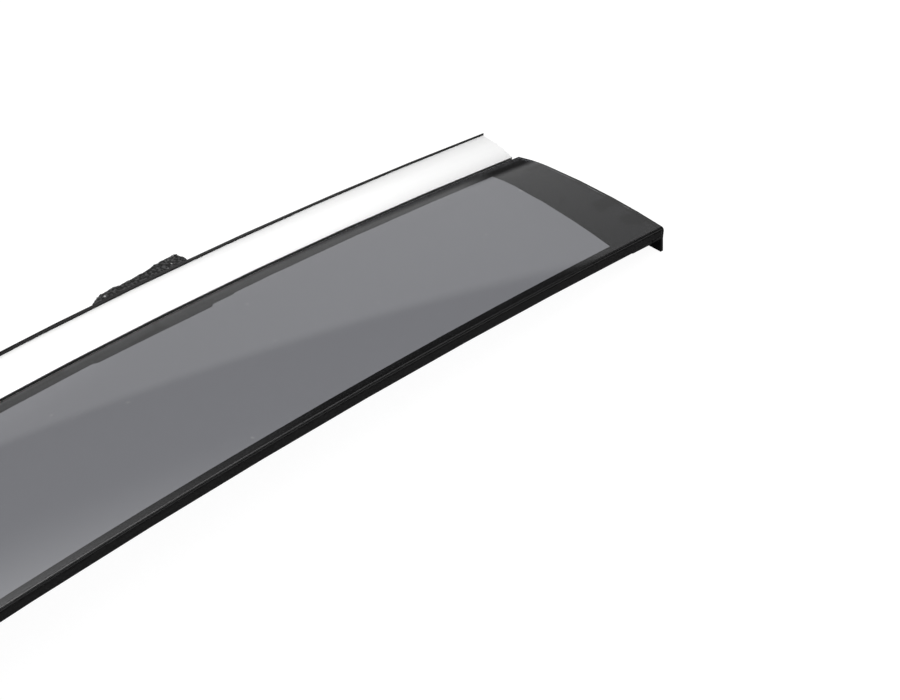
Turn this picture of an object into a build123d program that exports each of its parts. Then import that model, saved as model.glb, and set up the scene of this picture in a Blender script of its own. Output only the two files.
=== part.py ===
from build123d import *
from math import cos, degrees, hypot, radians, sin, tan
import os

# A window rain deflector: an arched, bowed strip that tapers to one end, lying with its hollow side down.
# X runs along it to the wide end, Y to the mounting edge and Z out of the smoked face. Sizes are in mm.
# Every section is drawn at the middle, with the valley line between trim and panel at Y 0, Z 0.

# The run of the strip: the valley line curves two ways, and the lower edge is a flatter arc
length = 700.0
arch_radius = 2180.0
bow_radius = 3825.0
edge_arch_radius = 4750.0
widest_depth = 62.35
widest_place = 121.0
loft_stations = 5

# The smoked panel's outer face, from its top edge over the shoulder to the nose
panel_wall = 1.6
top_edge_place = 2.3
top_edge_height = 0.95
rise_angle = 13.2
shoulder_place = 13.0
shoulder_height = 2.55
nose_run = 0.87
nose_height = 1.96
nose_side_height = 1.0
nose_foot_height = -0.3

# The black frame behind the panel's border, with its end plates
frame_wall = 1.2
bond_gap = 0.03
mask_place = 4.1
mask_overlap = 0.25
mask_edge_height = -0.5
mask_undercut = 56.0
bead_width = 3.65
foot_height = 0.8
band_width_top = 12.1
band_width_low = 17.1
end_wall = 0.9
end_flare = 0.12
lug_height = 0.2
lug_length = 8.0
lug_inset = 5.0
rib_wall = 1.2
rib_length = 7.0
rib_shares = (0.3, 0.55, 0.8)

# The mounting flange, its lip and groove, the clip seats with their cheeks, and the land beside each clip
flange_wall = 3.0
lip_height = 2.5
lip_wall_middle = 1.85
lip_wall_end = 0.3
lip_bevel_share = 0.35
groove_depth = 0.8
groove_wall = 0.35
seat_height = 0.2
seat_length = 34.0
seat_margin = 1.2
cheek_height = 0.5
cheek_gap = 0.15
land_length = 38.0
land_reach = 2.3
land_shift = -19.0

# The bright trim, roll formed from sheet with both edges turned down, and its tape
trim_width = 11.9
trim_lean = 9.9
trim_sheet = 0.5
trim_crown = 0.5
trim_leg = 1.0
trim_edge_radius = 0.2
trim_end_gap = 0.4
trim_fit = 0.05
trim_tape_margin = 0.3

# The adhesive tapes and their liners
tape_thickness = 1.2
tape_margin = 1.0
tape_end_gap = 3.0
tape_seat_gap = 2.5
liner_gap = 0.15
liner_thickness = 0.2
liner_overhang = 0.3
liner_tab = 1.5

# The spring clips, folded from sheet, with their sponge pads and rivets
clip_pitch = 233.0
clip_sheet = 0.7
clip_length = 30.0
clip_base_width = 7.4
clip_throat = 2.5
clip_leg_reach = 20.2
clip_lead = 1.2
clip_corner = 3.0
access_hole_radius = 2.6
rivet_radius = 1.1
rivet_fit = 0.05
rivet_head_radius = 2.0
rivet_head_height = 0.8
rivet_depth = 1.4
pad_thickness = 4.3
pad_length = 33.0
pad_shift = -1.5
pad_gap = 0.6
pad_width_end = 4.6
pad_width_thin = 6.7
pad_width_thick = 7.8

half = length / 2
bend_radius = 1 / hypot(1 / arch_radius, 1 / bow_radius)
bend_axis = Axis(
    (0, -(bend_radius**2) / arch_radius, -(bend_radius**2) / bow_radius),
    (0, bend_radius / bow_radius, -bend_radius / arch_radius),
)
clip_places = [-clip_pitch, 0, clip_pitch]
upright = (Align.CENTER, Align.CENTER, Align.MIN)
hanging = (Align.CENTER, Align.CENTER, Align.MAX)
frame_start = panel_wall + bond_gap
frame_middle = frame_start + frame_wall / 2
frame_stop = frame_start + frame_wall
seat_face = -flange_wall - seat_height


def carried(s, shape):
    """A shape drawn at the middle, carried along the bend to s from the middle."""
    return shape.rotate(bend_axis, degrees(s / bend_radius))


def section(edges):
    """A face in the middle's section plane, from edges drawn in (Y, Z)."""
    return Plane.YZ * make_face(edges)


def closed(points):
    """The edges of a closed outline through the points."""
    return Polyline(*points, close=True)


def swept(edges, start, stop):
    """A strip of one section between two places on the bend."""
    return revolve(carried(start, section(edges)), bend_axis, degrees((stop - start) / bend_radius))


def lofted(draw, start=-half, stop=half, count=loft_stations):
    """A strip whose section changes along the bend."""
    places = [start + (stop - start) * i / (count - 1) for i in range(count)]
    return loft([carried(s, section(draw(s))) for s in places])


def depth_at(s):
    """How far the nose lies from the valley line: the lower edge is the flatter arc."""
    return widest_depth - (s - widest_place) ** 2 / 2 * (1 / arch_radius - 1 / edge_arch_radius)


def skin(s):
    """The outer face's joints at a station, each with its tangent: three arcs that run on, and a drop."""
    joints = [
        Vector(-top_edge_place, top_edge_height),
        Vector(-shoulder_place, shoulder_height),
        Vector(nose_run - depth_at(s), nose_height),
        Vector(-depth_at(s), nose_side_height),
    ]
    tangents = [Vector(-cos(radians(rise_angle)), sin(radians(rise_angle)))]
    for here, there in zip(joints, joints[1:]):
        chord = (there - here).normalized()
        tangents.append(chord * 2 * chord.dot(tangents[-1]) - tangents[-1])
    foot = joints[-1] + tangents[-1] * (nose_side_height - nose_foot_height)
    return list(zip(joints + [foot], tangents + [tangents[-1]]))


def inset(joint, tangent, depth, along=0.0):
    """A point at a depth in the wall under a joint of the outer face, moved along the face."""
    return joint + Vector(-tangent.Y, tangent.X) * depth + tangent * along


def face_edges(s, depth):
    """The face's edges at a depth in the wall; deeper than the nose's rounding they meet in a corner."""
    joints = skin(s)
    edge, shoulder, nose, side, foot = [inset(joint, tangent, depth) for joint, tangent in joints]
    rise, level, slope = [tangent for joint, tangent in joints[:3]]
    if depth < nose_run:
        rounding = [TangentArc(nose, side, tangent=slope)]
    else:
        nose = side = nose + slope * ((side.X - nose.X) / slope.X)
        rounding = []
    arcs = [TangentArc(edge, shoulder, tangent=rise), TangentArc(shoulder, nose, tangent=level)]
    return arcs + rounding + [Line(side, foot)]


def layer(s, start, stop):
    """A closed outline between two depths in the wall."""
    outer, inner = face_edges(s, start), face_edges(s, stop)
    return outer + inner + [Line(outer[0] @ 0, inner[0] @ 0), Line(outer[-1] @ 1, inner[-1] @ 1)]


def trim_point(u, v):
    """A point in the trim's leaning frame: u across the strip from the valley, v out of its face."""
    lean = radians(trim_lean)
    return Vector(trim_fit + u * cos(lean) - v * sin(lean), trim_fit + u * sin(lean) + v * cos(lean))


def lip_inside():
    """The trim's side of the lip."""
    return trim_point(trim_width + trim_fit, 0).X


def lip_outside(s):
    """The lip's outer side: it is thickest in the middle and thins to the ends."""
    swell = (lip_wall_middle - lip_wall_end) * (1 - (s / half) ** 2)
    return lip_inside() + lip_wall_end + swell


def flange_outline(s):
    """The flange, its recess for the trim, the lip, and the groove between trim and panel."""
    top, rise = skin(s)[0]
    floor = -trim_leg - trim_fit
    crest = inset(top, rise, 0, -bond_gap - groove_wall)
    outside = lip_outside(s)
    bevel = (outside - lip_inside()) * lip_bevel_share
    behind = inset(top, rise, frame_start + mask_overlap, mask_overlap)
    return closed([
        (outside, -flange_wall),
        (outside, lip_height - bevel),
        (outside - bevel, lip_height),
        (lip_inside(), lip_height),
        trim_point(trim_width + trim_fit, 0),
        trim_point(trim_width + trim_fit, floor),
        trim_point(-trim_fit, floor),
        trim_point(-trim_fit, -groove_depth),
        (crest.X, -groove_depth),
        crest,
        inset(top, rise, 0, -bond_gap),
        inset(top, rise, frame_start + mask_overlap, -bond_gap),
        behind,
        (behind.X, -flange_wall + frame_wall / 2),
        (behind.X / 2, -flange_wall),
    ])


def foot_outline(s, height=foot_height):
    """The black foot under the panel's nose, with a root in the frame's own layer."""
    nose, run = skin(s)[-1]
    root = frame_wall / 3
    return closed([
        inset(nose, run, 0, bond_gap),
        inset(nose, run, frame_start + root / 2, bond_gap),
        inset(nose, run, frame_start + root / 2, -root),
        inset(nose, run, frame_stop + root, -root),
        inset(nose, run, frame_stop + root, height),
        inset(nose, run, 0, height),
    ])


def mask_side(place, tall):
    """A side of the mask, upright by the panel and cut back under itself below."""
    under = (tall + mask_edge_height) * tan(radians(mask_undercut))
    return [(-place, tall), (-place, mask_edge_height), (under - place, -tall)]


def clear_window():
    """What is cut from the frame's layer: the see-through field, less a land beside each clip."""
    tall = widest_depth / 4

    def outline(s):
        low = bead_width - depth_at(s)
        return closed(mask_side(mask_place, tall) + [(low, -tall), (low, tall)])

    window = lofted(outline)
    for side in (-1, 1):
        low = -depth_at(side * half)
        band = closed([
            (side * tall, low - tall),
            (-side * band_width_low, low - tall),
            (-side * band_width_low, low),
            (-side * band_width_top, -mask_place),
            (-side * band_width_top, tall),
            (side * tall, tall),
        ])
        window -= carried(side * half, extrude(make_face(band), tall * 2, both=True))
    land = section(closed(mask_side(mask_place + land_reach, tall) + [(2 * tall, -tall), (2 * tall, tall)]))
    for place in clip_places:
        window -= carried(place, Pos(land_shift, 0, 0) * extrude(land, land_length / 2, both=True))
    return window


def end_plate(side, floor):
    """The plate that closes an end, from inside the frame's layer down to the floor, with its ribs."""
    s = side * half
    below = carried(s, Vertex(0, 0, 0)).Z - floor
    nose, run = skin(s)[-1]
    top = face_edges(s, frame_middle)
    start = top[0] @ 0
    outline = top + [
        Polyline(
            top[-1] @ 1,
            inset(nose, run, bond_gap, foot_height * 0.9),
            (nose.X - end_flare * 2 * below, -2 * below),
            (start.X / 4, -2 * below),
            (start.X / 4, -flange_wall + frame_wall / 4),
            start,
        )
    ]
    plate = extrude(section(outline), -side * end_wall)
    above = section(layer(s, frame_middle, -shoulder_height * 2))
    for share in rib_shares:
        web = Plane.XZ * make_face(closed([
            (-side * end_wall / 2, shoulder_height),
            (-side * (end_wall + rib_length), shoulder_height),
            (-side * (end_wall + rib_length), -frame_stop / 2),
            (-side * end_wall / 2, -below / 2 - flange_wall / 2),
        ]))
        rib = Pos(0, nose.X * share, 0) * extrude(web, rib_wall / 2, both=True)
        plate += rib - extrude(above, rib_length * 2, both=True)
    return carried(s, plate)


def make_frame(floor):
    """The black moulding: flange and lip, border layer, foot, lugs, end plates and clip seats."""
    frame = lofted(flange_outline)
    frame += lofted(lambda s: layer(s, frame_start, frame_stop)) - clear_window()
    frame += lofted(foot_outline)
    for side in (-1, 1):
        near = side * (half - lug_inset)
        far = side * (half - lug_inset - lug_length)
        frame += lofted(lambda s: foot_outline(s, foot_height + lug_height), near, far, 2)
        frame += end_plate(side, floor)
    seat_width = lip_inside() - 2 * seat_margin
    cheek_start = clip_length / 2 + cheek_gap
    cheek_length = seat_length / 2 - cheek_start
    for place in clip_places:
        seat = Pos(0, seat_margin + seat_width / 2, (seat_face - flange_wall / 2) / 2)
        seat *= Box(seat_length, seat_width, flange_wall / 2 + seat_height)
        for side in (-1, 1):
            cheek = Box(cheek_length, clip_base_width, 2 * cheek_height)
            seat += rivet_spot() * Pos(side * (cheek_start + cheek_length / 2), 0, 0) * cheek
        frame += carried(place, seat)
        hole = Cylinder(rivet_radius + rivet_fit, rivet_depth + rivet_fit, align=upright)
        frame -= carried(place, rivet_spot() * hole)
    reach = length * 2
    return frame - Pos(0, 0, floor) * Box(reach, reach, reach, align=hanging)


def clip_base_start():
    """Where the clip's flat base runs into its bend."""
    return seat_margin + clip_throat / 2 + clip_sheet


def rivet_spot():
    """The rivet's place on the seat's face, at the middle."""
    return Pos(0, clip_base_start() + clip_base_width / 2, seat_face)


def make_trim():
    """The bright strip: a low dome with an edge turned down at each side."""
    crest, inner = trim_width / 2, trim_width - trim_sheet
    outline = [
        ThreePointArc(trim_point(0, 0), trim_point(crest, trim_crown), trim_point(trim_width, 0)),
        Polyline(
            trim_point(trim_width, 0),
            trim_point(trim_width, -trim_leg),
            trim_point(inner, -trim_leg),
            trim_point(inner, -trim_sheet),
        ),
        ThreePointArc(
            trim_point(inner, -trim_sheet),
            trim_point(crest, trim_crown - trim_sheet),
            trim_point(trim_sheet, -trim_sheet),
        ),
        Polyline(
            trim_point(trim_sheet, -trim_sheet),
            trim_point(trim_sheet, -trim_leg),
            trim_point(0, -trim_leg),
            trim_point(0, 0),
        ),
    ]
    face = make_face(outline)
    rims = [trim_point(0, 0), trim_point(trim_width, 0)]
    corners = [v for v in face.vertices() if min((Vector(v) - rim).length for rim in rims) < trim_fit]
    end = half - trim_end_gap
    start_face = carried(-end, Plane.YZ * fillet(corners, trim_edge_radius))
    return revolve(start_face, bend_axis, degrees(2 * end / bend_radius))


def make_trim_tape():
    """The flat foam tape that holds the trim in its recess."""
    left = trim_sheet + trim_tape_margin
    right = trim_width - left
    top = -trim_sheet - bond_gap
    corners = [(left, top), (right, top), (right, -trim_leg), (left, -trim_leg)]
    end = half - trim_end_gap - trim_tape_margin
    return swept(closed([trim_point(u, v) for u, v in corners]), -end, end)


def flat_strip(margin, top, thickness, start, stop):
    """A strip under the flange, a margin in from the valley and from the lip."""
    low, high = margin, lip_inside() - margin
    outline = closed([(low, top), (high, top), (high, top - thickness), (low, top - thickness)])
    return swept(outline, start, stop)


def make_tapes():
    """The mounting tapes between the clip seats, each with a liner whose tab reaches towards the middle."""
    clear = seat_length / 2 + tape_seat_gap
    starts = [tape_end_gap - half] + [place + clear for place in clip_places]
    stops = [place - clear for place in clip_places] + [half - tape_end_gap]
    top = -flange_wall - bond_gap
    liner_top = top - tape_thickness - liner_gap
    tapes, liners = [], []
    for start, stop in zip(starts, stops):
        tapes.append(flat_strip(tape_margin, top, tape_thickness, start, stop))
        if start + stop < 0:
            stop += liner_tab
        else:
            start -= liner_tab
        liners.append(flat_strip(tape_margin - liner_overhang, liner_top, liner_thickness, start, stop))
    return tapes, liners


def clip_leg_top():
    """The face of the clip's leg that the pad sits on."""
    return seat_face - clip_sheet - clip_throat


def make_clip():
    """A spring clip: a base on the seat, a bend, and a leg that runs out past the lip."""
    start = clip_base_start()
    end = start + clip_base_width
    base_low = seat_face - clip_sheet
    leg_top = clip_leg_top()
    leg_low = leg_top - clip_sheet
    middle = (base_low + leg_top) / 2
    kink = clip_leg_reach - clip_lead
    outline = [
        Line((end, seat_face), (start, seat_face)),
        ThreePointArc((start, seat_face), (start - clip_throat / 2 - clip_sheet, middle), (start, leg_low)),
        Polyline(
            (start, leg_low),
            (kink, leg_low),
            (clip_leg_reach, leg_low - clip_lead / 2),
            (clip_leg_reach, leg_top - clip_lead / 2),
            (kink, leg_top),
            (start, leg_top),
        ),
        ThreePointArc((start, leg_top), (start - clip_throat / 2, middle), (start, base_low)),
        Polyline((start, base_low), (end, base_low), (end, seat_face)),
    ]
    clip = extrude(section(outline), clip_length / 2, both=True)
    plan = Pos(0, clip_leg_reach) * Rectangle(clip_length, 2 * clip_leg_reach, align=(Align.CENTER, Align.MAX))
    plan = fillet(plan.vertices().sort_by(Axis.Y)[-2:], clip_corner)
    clip &= extrude(plan, 4 * clip_throat + flange_wall, both=True)
    clip -= rivet_spot() * Cylinder(rivet_radius + rivet_fit, clip_sheet * 2)
    clip -= rivet_spot() * Pos(0, 0, leg_top - seat_face) * Cylinder(access_hole_radius, clip_sheet * 3)
    return clip


def make_pad():
    """The sponge pad on the clip's leg: its outer edge swells towards the wide end."""
    inner = lip_outside(0) + pad_gap
    reach = pad_length / 2
    outline = closed([
        (-reach, inner),
        (-reach, inner + pad_width_end),
        (-reach * 0.72, inner + pad_width_thin),
        (0, inner + pad_width_thin),
        (reach * 0.5, inner + pad_width_thick),
        (reach * 0.9, inner + pad_width_thick),
        (reach, inner + pad_width_end),
        (reach, inner),
    ])
    return Pos(pad_shift, 0, clip_leg_top()) * extrude(make_face(outline), pad_thickness)


def make_rivets():
    """The rivets that hold the clips, all alike: a low round head and a shank into the seat."""
    head = Cylinder(rivet_head_radius, rivet_head_height, align=hanging)
    head = chamfer(head.edges().sort_by(Axis.Z)[0], rivet_head_height / 2)
    rivet = Pos(0, 0, -clip_sheet) * head
    rivet += Pos(0, 0, -clip_sheet) * Cylinder(rivet_radius, clip_sheet + rivet_depth, align=upright)
    return [carried(place, rivet_spot() * rivet) for place in clip_places]


tapes, liners = make_tapes()
floor = min(liner.bounding_box().min.Z for liner in liners)
pieces = {
    "smoked_panel": [lofted(lambda s: layer(s, 0, panel_wall))],
    "black_frame": [make_frame(floor)],
    "chrome_trim": [make_trim()],
    "trim_tape": [make_trim_tape()],
    "clip_rivets": make_rivets(),
}
for number, (tape, liner) in enumerate(zip(tapes, liners), 1):
    pieces[f"mount_tape_{number}"] = [tape]
    pieces[f"tape_liner_{number}"] = [liner]
for number, place in enumerate(clip_places, 1):
    pieces[f"spring_clip_{number}"] = [carried(place, make_clip())]
    pieces[f"clip_pad_{number}"] = [carried(place, make_pad())]

boxes = [shape.bounding_box() for shapes in pieces.values() for shape in shapes]
middle_x = (min(box.min.X for box in boxes) + max(box.max.X for box in boxes)) / 2
middle_y = (min(box.min.Y for box in boxes) + max(box.max.Y for box in boxes)) / 2
resting = Pos(-middle_x, -middle_y, -floor)

os.makedirs("parts", exist_ok=True)
for name, shapes in pieces.items():
    placed = [resting * shape for shape in shapes]
    export_step(placed[0] if len(placed) == 1 else Compound(children=placed), f"parts/{name}.step")
print("moved by", -middle_x, -middle_y, -floor)
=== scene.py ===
import bpy
import math
from mathutils import Matrix, Vector, noise


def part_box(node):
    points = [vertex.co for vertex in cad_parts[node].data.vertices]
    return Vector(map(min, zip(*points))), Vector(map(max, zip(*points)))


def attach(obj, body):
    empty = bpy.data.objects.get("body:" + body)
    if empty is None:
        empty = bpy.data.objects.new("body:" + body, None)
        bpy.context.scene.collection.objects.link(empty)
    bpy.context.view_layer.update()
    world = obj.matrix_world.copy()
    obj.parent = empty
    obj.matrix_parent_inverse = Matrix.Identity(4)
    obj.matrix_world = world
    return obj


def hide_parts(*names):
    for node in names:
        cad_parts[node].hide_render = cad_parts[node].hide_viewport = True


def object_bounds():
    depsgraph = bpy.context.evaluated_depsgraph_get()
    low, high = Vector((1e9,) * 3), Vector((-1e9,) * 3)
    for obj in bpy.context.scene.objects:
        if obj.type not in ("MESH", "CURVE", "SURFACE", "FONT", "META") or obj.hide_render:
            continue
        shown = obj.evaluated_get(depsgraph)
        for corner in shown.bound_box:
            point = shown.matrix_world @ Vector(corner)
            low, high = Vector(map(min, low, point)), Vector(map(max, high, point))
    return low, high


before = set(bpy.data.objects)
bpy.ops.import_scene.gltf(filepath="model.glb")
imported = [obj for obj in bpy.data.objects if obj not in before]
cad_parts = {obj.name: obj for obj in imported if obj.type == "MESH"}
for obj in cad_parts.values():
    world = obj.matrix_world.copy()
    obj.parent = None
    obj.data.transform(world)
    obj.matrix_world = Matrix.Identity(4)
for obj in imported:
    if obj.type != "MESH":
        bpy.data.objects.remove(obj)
cad_low, cad_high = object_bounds()

# The strip's bend, in metres: the valley line between trim and panel curves about one far, leaning axis
ARCH_RADIUS = 2.180
BOW_RADIUS = 3.825
BEND_RADIUS = 1 / math.hypot(1 / ARCH_RADIUS, 1 / BOW_RADIUS)
VALLEY = Vector((0, 0.030730, 0.020337))
BEND_CENTRE = VALLEY - Vector((0, BEND_RADIUS**2 / ARCH_RADIUS, BEND_RADIUS**2 / BOW_RADIUS))

# The share of the section's across direction that lies in the bend's axis, and the share that points outward
ACROSS_IN_AXIS = BEND_RADIUS / BOW_RADIUS
ACROSS_OUTWARD = BEND_RADIUS / ARCH_RADIUS
BEND_AXIS = Vector((0, ACROSS_IN_AXIS, -ACROSS_OUTWARD))
BEND_OUTWARD = (0, ACROSS_OUTWARD, ACROSS_IN_AXIS)

# A facet's normal takes the drawn surface's one from the first angle between them on, and wholly at the second
NEAR_START = math.cos(math.radians(25))
NEAR_FULL = math.cos(math.radians(15))

# The panel's outer face in its section, from the mounting side: it rises to a shoulder and falls to the nose
TOP_EDGE = -0.0023
SHOULDER = -0.013
RISE_TILT = math.radians(13.2)
SHOULDER_TILT = math.radians(3.81)
NOSE_DROP = 0.00059
NOSE_RUN = 0.00087
NOSE_CENTRE_BACK = 0.000087
NOSE_CENTRE_UP = 0.001007
# How deep the panel is where it is widest, and how it tapers from there, because its lower edge arches less
WIDEST_DEPTH = 0.06235
WIDEST_PLACE = 0.121
EDGE_ARCH_RADIUS = 4.75
TAPER = (1 / ARCH_RADIUS - 1 / EDGE_ARCH_RADIUS) / 2

# The trim's face: an arc across its width, in a frame that leans and stands a small fit off the valley
TRIM_WIDTH = 0.0119
TRIM_CROWN = 0.0005
TRIM_RADIUS = (TRIM_WIDTH**2 / 4 + TRIM_CROWN**2) / (2 * TRIM_CROWN)
TRIM_FIT = 0.00005
TRIM_LEAN = math.radians(9.9)

# The camera stands where the photograph was taken from
CAMERA_PLACE = Vector((-0.26735, -0.43201, 0.458627))
CAMERA_FORWARD = Vector((0.6616, 0.4907, -0.5671)).normalized()
CAMERA_RIGHT = Vector((0.5957, -0.8032, 0)).normalized()
CAMERA_LENS_MM = 128
CAMERA_REACH = (0.01, 100)
SENSOR_MM = 36


def make_camera():
    """The photograph's view, in a frame of 900 by 700."""
    data = bpy.data.cameras.new("camera")
    data.sensor_width = SENSOR_MM
    data.lens = CAMERA_LENS_MM
    data.clip_start, data.clip_end = CAMERA_REACH
    up = CAMERA_RIGHT.cross(CAMERA_FORWARD)
    turn = Matrix((CAMERA_RIGHT, up, -CAMERA_FORWARD)).transposed()
    camera = bpy.data.objects.new("camera", data)
    camera.matrix_world = Matrix.Translation(CAMERA_PLACE) @ turn.to_4x4()
    bpy.context.scene.collection.objects.link(camera)
    bpy.context.scene.camera = camera


# Where a Mix node keeps its two inputs and its output, by the kind of data
MIX_SOCKETS = {"FLOAT": (2, 3, 0), "VECTOR": (4, 5, 1), "RGBA": (6, 7, 2)}
# The middle of a noise's range, where nearly all of it lies
NOISE_MIDDLE = (0.3, 0.7)


class Nodes:
    """A node tree with short calls: inputs are given as numbers, colours or other nodes' outputs."""

    def __init__(self, tree):
        self.tree = tree

    def add(self, kind, *inputs, **settings):
        """A node with its inputs in order; None leaves an input as it is."""
        node = self.tree.nodes.new(kind)
        for name, value in settings.items():
            setattr(node, name, value)
        for socket, value in zip(node.inputs, inputs):
            self.set(socket, value)
        return node

    def set(self, socket, value):
        """Links or sets one input; None leaves it as it is."""
        if isinstance(value, bpy.types.NodeSocket):
            self.tree.links.new(value, socket)
        elif value is not None:
            socket.default_value = value

    def math(self, operation, *inputs):
        return self.add("ShaderNodeMath", *inputs, operation=operation).outputs[0]

    def plus(self, first, second):
        return self.math("ADD", first, second)

    def minus(self, first, second):
        return self.math("SUBTRACT", first, second)

    def times(self, first, second):
        return self.math("MULTIPLY", first, second)

    def over(self, first, second):
        return self.math("DIVIDE", first, second)

    def vector(self, operation, *inputs):
        node = self.add("ShaderNodeVectorMath", *inputs, operation=operation)
        scalar = operation in ("DOT_PRODUCT", "LENGTH")
        return node.outputs["Value" if scalar else "Vector"]

    def scaled(self, vector, factor):
        node = self.add("ShaderNodeVectorMath", vector, operation="SCALE")
        self.set(node.inputs["Scale"], factor)
        return node.outputs["Vector"]

    def joined(self, x, y, z):
        return self.add("ShaderNodeCombineXYZ", x, y, z).outputs[0]

    def parts(self, vector):
        return self.add("ShaderNodeSeparateXYZ", vector).outputs

    def ramp(self, value, low, high, start=0.0, stop=1.0, kind="SMOOTHSTEP"):
        """A step from start to stop, smooth or linear, as the value goes from low to high."""
        return self.add("ShaderNodeMapRange", value, low, high, start, stop, interpolation_type=kind).outputs[0]

    def noise(self, place, scale, detail=2.0):
        node = self.add("ShaderNodeTexNoise")
        self.set(node.inputs["Vector"], place)
        self.set(node.inputs["Scale"], scale)
        self.set(node.inputs["Detail"], detail)
        return node.outputs["Fac"]

    def cells(self, place, scale):
        """The distance to the nearest of scattered points."""
        node = self.add("ShaderNodeTexVoronoi")
        self.set(node.inputs["Vector"], place)
        self.set(node.inputs["Scale"], scale)
        return node.outputs["Distance"]

    def mix(self, factor, first, second, kind="RGBA"):
        """A colour, or what kind says, between two."""
        node = self.add("ShaderNodeMix", data_type=kind)
        first_socket, second_socket, result = MIX_SOCKETS[kind]
        self.set(node.inputs["Factor"], factor)
        self.set(node.inputs[first_socket], first)
        self.set(node.inputs[second_socket], second)
        return node.outputs[result]

    def bump(self, height, distance, strength=1.0, base=None):
        node = self.add("ShaderNodeBump")
        self.set(node.inputs["Strength"], strength)
        self.set(node.inputs["Distance"], distance)
        self.set(node.inputs["Height"], height)
        self.set(node.inputs["Normal"], base)
        return node.outputs["Normal"]

    def facet_normal(self):
        return self.add("ShaderNodeNewGeometry").outputs["Normal"]

    def rounded_edges(self, radius, samples):
        """The surface's normal, turned along its sharp edges as a small rounding would."""
        node = self.add("ShaderNodeBevel", samples=samples)
        self.set(node.inputs["Radius"], radius)
        return node.outputs["Normal"]


def leaned(nodes, first, second):
    """Two lengths at a right angle, turned by the lean of the bend's axis."""
    return (
        nodes.plus(nodes.times(first, ACROSS_IN_AXIS), nodes.times(second, ACROSS_OUTWARD)),
        nodes.minus(nodes.times(second, ACROSS_IN_AXIS), nodes.times(first, ACROSS_OUTWARD)),
    )


def strip_place(nodes):
    """A point's place along the bend, along the bend's axis and away from it, in metres."""
    point = nodes.add("ShaderNodeTexCoord").outputs["Object"]
    arm = nodes.vector("SUBTRACT", point, tuple(BEND_CENTRE))
    along_axis = nodes.vector("DOT_PRODUCT", arm, tuple(BEND_AXIS))
    away = nodes.vector("DOT_PRODUCT", arm, BEND_OUTWARD)
    side = nodes.vector("DOT_PRODUCT", arm, (1, 0, 0))
    run = nodes.times(nodes.math("ARCTAN2", side, away), BEND_RADIUS)
    squares = nodes.plus(nodes.times(side, side), nodes.times(away, away))
    distance = nodes.minus(nodes.math("SQRT", squares), BEND_RADIUS)
    return nodes.joined(run, along_axis, distance)


def section_place(nodes, place):
    """A point's run along the bend, and its place across and up in the section there."""
    run, along_axis, distance = nodes.parts(place)
    across, up = leaned(nodes, along_axis, distance)
    return run, across, up


def true_normal(nodes, run, tilt):
    """The drawn surface's own normal where the facets nearly have it, and theirs elsewhere.

    The tilt is its angle from the section's up to the mounting side. The facets' normals waver by a few tenths
    of a degree, and a mirror shows that.
    """
    bend = nodes.over(run, BEND_RADIUS)
    outward, in_axis = leaned(nodes, nodes.math("COSINE", tilt), nodes.math("SINE", tilt))
    x = nodes.times(outward, nodes.math("SINE", bend))
    y, z = leaned(nodes, in_axis, nodes.times(outward, nodes.math("COSINE", bend)))
    turned = nodes.add(
        "ShaderNodeVectorTransform", nodes.joined(x, y, z),
        vector_type="NORMAL", convert_from="OBJECT", convert_to="WORLD",
    ).outputs[0]
    faceted = nodes.facet_normal()
    match = nodes.vector("DOT_PRODUCT", faceted, turned)
    near = nodes.ramp(nodes.math("ABSOLUTE", match), NEAR_START, NEAR_FULL)
    drawn_share = nodes.scaled(turned, nodes.times(nodes.math("SIGN", match), near))
    facet_share = nodes.scaled(faceted, nodes.minus(1.0, near))
    return nodes.vector("NORMALIZE", nodes.vector("ADD", drawn_share, facet_share))


def stretched(nodes, place, along, across):
    """The place counted in grains a metre, to draw a grain out along the strip."""
    return nodes.vector("MULTIPLY", place, (along, across, across))


def material(name, **sockets):
    """A new Principled material with plain values on the shader's own sockets."""
    made = bpy.data.materials.new(name)
    made.use_nodes = True
    shader = made.node_tree.nodes["Principled BSDF"]
    for socket, value in sockets.items():
        shader.inputs[socket.replace("_", " ")].default_value = value
    return made, Nodes(made.node_tree), shader


def colour(nodes, shader, grain, low, high):
    """The shader's colour goes from one to the other with the grain."""
    nodes.set(shader.inputs["Base Color"], nodes.mix(grain, low, high))


def roughness(nodes, shader, grain, low, high):
    """The shader's roughness goes from low to high with the grain."""
    nodes.set(shader.inputs["Roughness"], nodes.ramp(grain, *NOISE_MIDDLE, low, high))


def normal(nodes, shader, value):
    nodes.set(shader.inputs["Normal"], value)


# The smoked panel's tint, its dust specks, and the dark shade of the black moulding close behind its nose
PANEL_TINT = (0.207, 0.21, 0.226, 1)
SPECK_TINT = (0.32, 0.32, 0.32, 1)
NOSE_TINT = (0.02, 0.02, 0.021, 1)
NOSE_TINT_FADE = 0.0005


def nose_start(nodes, run):
    """Where across the section the rounding of the panel's nose starts."""
    offset = nodes.minus(run, WIDEST_PLACE)
    depth = nodes.minus(WIDEST_DEPTH, nodes.times(nodes.times(offset, offset), TAPER))
    return nodes.minus(NOSE_RUN, depth)


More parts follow.
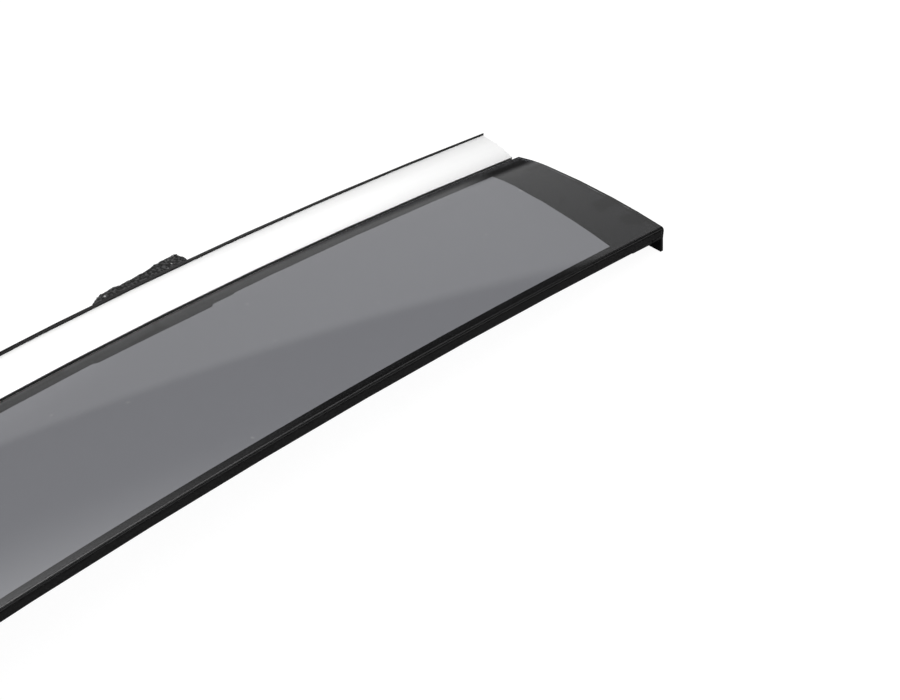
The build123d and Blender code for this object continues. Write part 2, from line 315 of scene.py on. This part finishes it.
def panel_tilt(nodes, across, up, nose):
    """How far the panel's face tilts to the mounting side: along two arcs, and round the nose after them."""
    rise = nodes.ramp(across, TOP_EDGE, SHOULDER, RISE_TILT, SHOULDER_TILT, kind="LINEAR")
    fall = nodes.math("ARCTANGENT", nodes.over(NOSE_DROP, nodes.minus(SHOULDER, nose)))
    turn = nodes.times(nodes.plus(fall, SHOULDER_TILT), -2.0)
    face = nodes.plus(rise, nodes.ramp(across, SHOULDER, nose, 0.0, turn, kind="LINEAR"))
    out = nodes.minus(nodes.plus(nose, NOSE_CENTRE_BACK), across)
    rounding = nodes.math("ARCTAN2", out, nodes.minus(up, NOSE_CENTRE_UP))
    rounding = nodes.times(nodes.math("MINIMUM", rounding, math.pi / 2), -1.0)
    past = nodes.math("LESS_THAN", across, nose)
    return nodes.plus(nodes.times(rounding, past), nodes.times(face, nodes.minus(1.0, past)))


def smoked_clear():
    """Polished grey acrylic: see-through, with the faintest ripple and a few dust specks."""
    made, nodes, shader = material("smoked clear", Transmission_Weight=1.0, IOR=1.49)
    place = strip_place(nodes)
    run, across, up = section_place(nodes, place)
    nose = nose_start(nodes, run)
    dust_and_painted_glints = nodes.ramp(nodes.cells(place, scale=90), low=0.05, high=0.03)
    tint = nodes.mix(dust_and_painted_glints, PANEL_TINT, SPECK_TINT)
    at_nose = nodes.ramp(nodes.minus(across, nose), low=NOSE_TINT_FADE, high=0.0)
    colour(nodes, shader, at_nose, tint, NOSE_TINT)
    roughness(nodes, shader, nodes.noise(place, scale=60, detail=3), low=0.0, high=0.02)
    ripple = nodes.noise(stretched(nodes, place, along=12, across=40), scale=1.0)
    base = true_normal(nodes, run, panel_tilt(nodes, across, up, nose))
    normal(nodes, shader, nodes.bump(ripple, distance=0.000001, base=base))
    return made


# The radius of the small roundings that catch the light along the moulding's edges
EDGE_ROUND = 0.00012
# The rounded normals are taken only near edges: beside the trim, at the foot and at both ends, each over a span
NEAR_TRIM = (-0.0055, -0.0045)
NEAR_FOOT = (0.0009, 0.0003)
NEAR_ENDS = (0.3484, 0.3488)


def black_moulding():
    """Black moulding with a gloss, finely uneven as it leaves the mould."""
    made, nodes, shader = material("black moulding", IOR=1.5)
    place = strip_place(nodes)
    run, across, up = section_place(nodes, place)
    tone = nodes.noise(place, scale=40, detail=3)
    colour(nodes, shader, tone, low=(0.004, 0.004, 0.0045, 1), high=(0.008, 0.008, 0.0085, 1))
    roughness(nodes, shader, nodes.noise(place, scale=60, detail=3), low=0.12, high=0.18)
    at_edges = nodes.math("MAXIMUM", nodes.ramp(across, *NEAR_TRIM), nodes.ramp(up, *NEAR_FOOT))
    at_edges = nodes.math("MAXIMUM", at_edges, nodes.ramp(nodes.math("ABSOLUTE", run), *NEAR_ENDS))
    rounded = nodes.rounded_edges(EDGE_ROUND, samples=8)
    base = nodes.mix(at_edges, nodes.facet_normal(), rounded, kind="VECTOR")
    sink = nodes.noise(place, scale=120)
    normal(nodes, shader, nodes.bump(sink, distance=0.000002, strength=0.5, base=base))
    return made


def trim_tilt(nodes, across, up):
    """How far the trim's face tilts to the mounting side."""
    level = nodes.times(nodes.minus(across, TRIM_FIT), math.cos(TRIM_LEAN))
    climb = nodes.times(nodes.minus(up, TRIM_FIT), math.sin(TRIM_LEAN))
    off_middle = nodes.minus(nodes.plus(level, climb), TRIM_WIDTH / 2)
    return nodes.minus(nodes.math("ARCSINE", nodes.over(off_middle, TRIM_RADIUS)), TRIM_LEAN)


def bright_trim():
    """Polished bright strip, drawn out along its length by the rolls."""
    made, nodes, shader = material("bright trim", Metallic=1.0)
    place = strip_place(nodes)
    run, across, up = section_place(nodes, place)
    lines = nodes.noise(stretched(nodes, place, along=3, across=900), scale=1.0, detail=3)
    colour(nodes, shader, lines, low=(0.93, 0.93, 0.93, 1), high=(0.97, 0.97, 0.965, 1))
    roughness(nodes, shader, lines, low=0.42, high=0.5)
    base = true_normal(nodes, run, trim_tilt(nodes, across, up))
    normal(nodes, shader, nodes.bump(lines, distance=0.00001, strength=0.3, base=base))
    return made


def foam(name, dark, light):
    """Closed-cell foam tape."""
    made, nodes, shader = material(name, Roughness=0.9)
    pores = nodes.cells(strip_place(nodes), scale=2500)
    colour(nodes, shader, pores, dark, light)
    normal(nodes, shader, nodes.bump(pores, distance=0.0001, strength=0.6))
    return made


def liner_film():
    """Thin red release film with a slight wrinkle."""
    made, nodes, shader = material("liner film", IOR=1.5)
    place = stretched(nodes, strip_place(nodes), along=90, across=260)
    wrinkle = nodes.noise(place, scale=1.0, detail=3)
    colour(nodes, shader, wrinkle, low=(0.42, 0.02, 0.018, 1), high=(0.62, 0.05, 0.04, 1))
    roughness(nodes, shader, wrinkle, low=0.28, high=0.42)
    normal(nodes, shader, nodes.bump(wrinkle, distance=0.0002, strength=0.5))
    return made


def spring_steel():
    """Cold-rolled sheet with a fine grain along the strip."""
    made, nodes, shader = material("spring steel", Metallic=1.0)
    place = stretched(nodes, strip_place(nodes), along=60, across=2600)
    grain = nodes.noise(place, scale=1.0, detail=4)
    colour(nodes, shader, grain, low=(0.42, 0.42, 0.43, 1), high=(0.62, 0.62, 0.62, 1))
    roughness(nodes, shader, grain, low=0.26, high=0.42)
    normal(nodes, shader, nodes.bump(grain, distance=0.00004, strength=0.4))
    return made


def rivet_metal():
    """Plain aluminium with the small dents of its setting."""
    made, nodes, shader = material("rivet metal", Metallic=1.0)
    dents = nodes.noise(strip_place(nodes), scale=1400, detail=3)
    colour(nodes, shader, dents, low=(0.5, 0.5, 0.51, 1), high=(0.72, 0.72, 0.72, 1))
    roughness(nodes, shader, dents, low=0.3, high=0.5)
    normal(nodes, shader, nodes.bump(dents, distance=0.0001, strength=0.5))
    return made


def sponge():
    """Coarse black sponge, with painted glints: pale spots on a few cell walls stand in for small highlights.
    """
    made, nodes, shader = material("sponge", Roughness=0.75)
    place = strip_place(nodes)
    grain = nodes.ramp(nodes.noise(place, scale=1500), low=0.42, high=0.6)
    # Painted glints: pale spots scattered over the sponge that stand in for small highlights on its cell walls
    dust_and_painted_glints = nodes.ramp(nodes.cells(place, scale=460), low=0.18, high=0.12)
    tone = nodes.mix(grain, (0.002, 0.002, 0.002, 1), (0.1, 0.1, 0.102, 1))
    colour(nodes, shader, dust_and_painted_glints, tone, (0.75, 0.75, 0.75, 1))
    normal(nodes, shader, nodes.bump(grain, distance=0.0003, strength=0.8))
    return made


def dress_cad():
    """Each carried-over node gets the material of its slot; numbered nodes share one."""
    finishes = {
        "smoked_panel": smoked_clear(),
        "black_frame": black_moulding(),
        "chrome_trim": bright_trim(),
        "trim_tape": foam("trim foam", dark=(0.04, 0.04, 0.04, 1), light=(0.1, 0.1, 0.1, 1)),
        "clip_rivets": rivet_metal(),
        "mount_tape": foam("mount foam", dark=(0.05, 0.05, 0.052, 1), light=(0.13, 0.13, 0.135, 1)),
        "tape_liner": liner_film(),
        "spring_clip": spring_steel(),
    }
    for name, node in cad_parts.items():
        finish = finishes.get(name.rstrip("_0123456789"))
        if finish:
            node.data.materials.clear()
            node.data.materials.append(finish)


# The sponge pads: each is made from its solid's form, with open cells and rounded edges
PAD_VOXEL = 0.0005
PAD_CELL = 0.001
PAD_PIT = 0.00016
# By the place along the clip: how wide the solid is from its inner side, and how wide the squeezed sponge is
PAD_OUTLINE = (
    (-0.018, 0.0046, 0.0046),
    (-0.0134, 0.0067, 0.007),
    (-0.0015, 0.0067, 0.0072),
    (0.0067, 0.0078, 0.0083),
    (0.0133, 0.0078, 0.0089),
    (0.0150, 0.0046, 0.0086),
)


def strip_spot(point):
    """A point's run along the bend and its place across the section there, as section_place gives them."""
    arm = point - BEND_CENTRE
    away = arm.y * ACROSS_OUTWARD + arm.z * ACROSS_IN_AXIS
    distance = math.hypot(arm.x, away) - BEND_RADIUS
    across = arm.dot(BEND_AXIS) * ACROSS_IN_AXIS + distance * ACROSS_OUTWARD
    return math.atan2(arm.x, away) * BEND_RADIUS, across


def clip_run(name):
    """Where the clip of a pad stands along the bend."""
    low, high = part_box(name.replace("clip_pad", "spring_clip"))
    return strip_spot((Vector(low) + Vector(high)) / 2)[0]


def swell(run, offset):
    """How far the sponge swells outward at a place along its clip and an offset from its inner side."""
    run = min(max(run, PAD_OUTLINE[0][0]), PAD_OUTLINE[-1][0])
    for (start, drawn, swollen), (stop, next_drawn, next_swollen) in zip(PAD_OUTLINE, PAD_OUTLINE[1:]):
        if run <= stop:
            share = (run - start) / (stop - start)
            width = drawn + (next_drawn - drawn) * share
            wide = swollen + (next_swollen - swollen) * share
            return min(1.0, max(0.0, offset / width)) ** 2 * (wide - width)


def make_pad(name, finish):
    """A sponge pad in the place of its solid, with pits that open between its cells."""
    pad = bpy.data.objects.new(name + "_sponge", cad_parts[name].data.copy())
    bpy.context.scene.collection.objects.link(pad)
    remesh = pad.modifiers.new("cells", "REMESH")
    remesh.mode = "VOXEL"
    remesh.voxel_size = PAD_VOXEL
    divide = pad.modifiers.new("divide", "SUBSURF")
    divide.levels = divide.render_levels = 1
    depsgraph = bpy.context.evaluated_depsgraph_get()
    mesh = bpy.data.meshes.new_from_object(pad.evaluated_get(depsgraph))
    mesh.name = pad.name
    pad.modifiers.clear()
    pad.data = mesh
    middle = clip_run(name)
    near_side = min(strip_spot(vertex.co)[1] for vertex in mesh.vertices)
    for vertex in mesh.vertices:
        distances = noise.voronoi(vertex.co / PAD_CELL)[0]
        wall = min(1.0, distances[1] - distances[0])
        run, outward = strip_spot(vertex.co)
        vertex.co -= vertex.normal * PAD_PIT * (1 - wall)
        vertex.co.y = min(vertex.co.y + swell(run - middle, outward - near_side), cad_high[1])
    for face in mesh.polygons:
        face.use_smooth = True
    mesh.materials.clear()
    mesh.materials.append(finish)
    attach(pad, "root")
    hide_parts(name)


# The floor round the object
FLOOR_SIZE = 16.0
FLOOR_TONE = 0.24
FLOOR_GLOW = 0.94
# In gloss the floor glows like that only from FLOOR_FAR on, and little up to FLOOR_NEAR, in the object's shade
FLOOR_NEAR = 0.5
FLOOR_FAR = 2.0
NEAR_GLOW_IN_GLOSS = 0.02


def make_floor():
    """A pale floor that keeps the object's shadow and shows white."""
    bpy.ops.mesh.primitive_plane_add(size=FLOOR_SIZE)
    floor = bpy.context.active_object
    floor.name = "floor"
    made = bpy.data.materials.new("floor")
    made.use_nodes = True
    nodes = Nodes(made.node_tree)
    made.node_tree.nodes.clear()
    matt = nodes.add("ShaderNodeBsdfDiffuse", (FLOOR_TONE, FLOOR_TONE, FLOOR_TONE, 1)).outputs[0]
    path = nodes.add("ShaderNodeLightPath").outputs
    straight = nodes.math("MAXIMUM", path["Is Camera Ray"], path["Is Transmission Ray"])
    distance = nodes.vector("LENGTH", nodes.add("ShaderNodeTexCoord").outputs["Object"])
    mirrored = nodes.ramp(distance, FLOOR_NEAR, FLOOR_FAR, NEAR_GLOW_IN_GLOSS, FLOOR_GLOW)
    in_gloss = nodes.times(path["Is Glossy Ray"], mirrored)
    seen = nodes.math("MAXIMUM", nodes.times(straight, FLOOR_GLOW), in_gloss)
    glow = nodes.add("ShaderNodeEmission", (1, 1, 1, 1), seen).outputs[0]
    both = nodes.add("ShaderNodeAddShader", matt, glow).outputs[0]
    nodes.add("ShaderNodeOutputMaterial", both)
    floor.data.materials.append(made)


# How bright the studio is by direction: by the height over the horizon and by the side, from the right (0)
# round to the back (90), in degrees. A pair is the span over which one tone fades into the next.
FOOT = 0.08
WALL = 0.62
FOOT_TO_WALL = (6.3, 10.3)
# Towards the right the wall's foot stands higher, and towards the back the wall is a little dimmer
FOOT_STEP = 3.5
FOOT_STEP_SIDES = (39.6, 38.0)
BACK_WALL_SHARE = 0.88
BACK_WALL_SIDES = (35, 47)
# The wall's top edge slopes down from right to back, and a dark gap stands over it
WALL_TOP = 29.9
WALL_TOP_SLOPE = 3
WALL_TOP_SIDES = (15, 55)
WALL_TOP_FADE = 0.6
GAP = 0.11
# The softbox: how bright it is, what the sky is beside it, and where it fades in and out
SOFTBOX = 6.0
REST = 0.6
SOFTBOX_FOOT = (36, 59)
SOFTBOX_HEAD = (76, 62)
SOFTBOX_RIGHT_SIDE = (-5, 32)
SOFTBOX_LEFT_SIDE = (75, 35)


def make_world():
    """Soft studio light: a pale wall all round, a dark gap over it and a softbox high up at the back."""
    world = bpy.data.worlds.new("studio")
    bpy.context.scene.world = world
    world.use_nodes = True
    nodes = Nodes(world.node_tree)
    world.node_tree.nodes.clear()
    right, back, up = nodes.parts(nodes.add("ShaderNodeTexCoord").outputs["Generated"])
    height = nodes.math("DEGREES", nodes.math("ARCSINE", up))
    side = nodes.math("DEGREES", nodes.math("ARCTAN2", back, right))

    foot = nodes.ramp(side, *FOOT_STEP_SIDES, 0.0, FOOT_STEP)
    wall = nodes.ramp(nodes.minus(height, foot), *FOOT_TO_WALL, FOOT, WALL)
    wall = nodes.times(wall, nodes.ramp(side, *BACK_WALL_SIDES, 1.0, BACK_WALL_SHARE))
    top_ends = (WALL_TOP + WALL_TOP_SLOPE, WALL_TOP - WALL_TOP_SLOPE)
    top = nodes.ramp(side, *WALL_TOP_SIDES, *top_ends, kind="LINEAR")
    above = nodes.ramp(nodes.minus(height, top), -WALL_TOP_FADE, WALL_TOP_FADE)

    facing = nodes.times(nodes.ramp(side, *SOFTBOX_RIGHT_SIDE), nodes.ramp(side, *SOFTBOX_LEFT_SIDE))
    facing = nodes.times(facing, nodes.ramp(height, *SOFTBOX_HEAD))
    peak = nodes.plus(REST - GAP, nodes.times(facing, SOFTBOX - REST))
    sky = nodes.plus(nodes.times(nodes.ramp(height, *SOFTBOX_FOOT), peak), GAP)
    level = nodes.plus(nodes.times(wall, nodes.minus(1.0, above)), nodes.times(sky, above))

    seen = nodes.add("ShaderNodeLightPath").outputs["Is Camera Ray"]
    shown = nodes.mix(seen, level, 1.0, kind="FLOAT")
    glow = nodes.add("ShaderNodeBackground", (1, 1, 1, 1), shown).outputs[0]
    nodes.add("ShaderNodeOutputWorld", glow)


make_camera()
dress_cad()
sponge_finish = sponge()
for name in sorted(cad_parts):
    if name.startswith("clip_pad"):
        make_pad(name, sponge_finish)
make_floor()
make_world()
bpy.context.scene.view_settings.view_transform = "Standard"
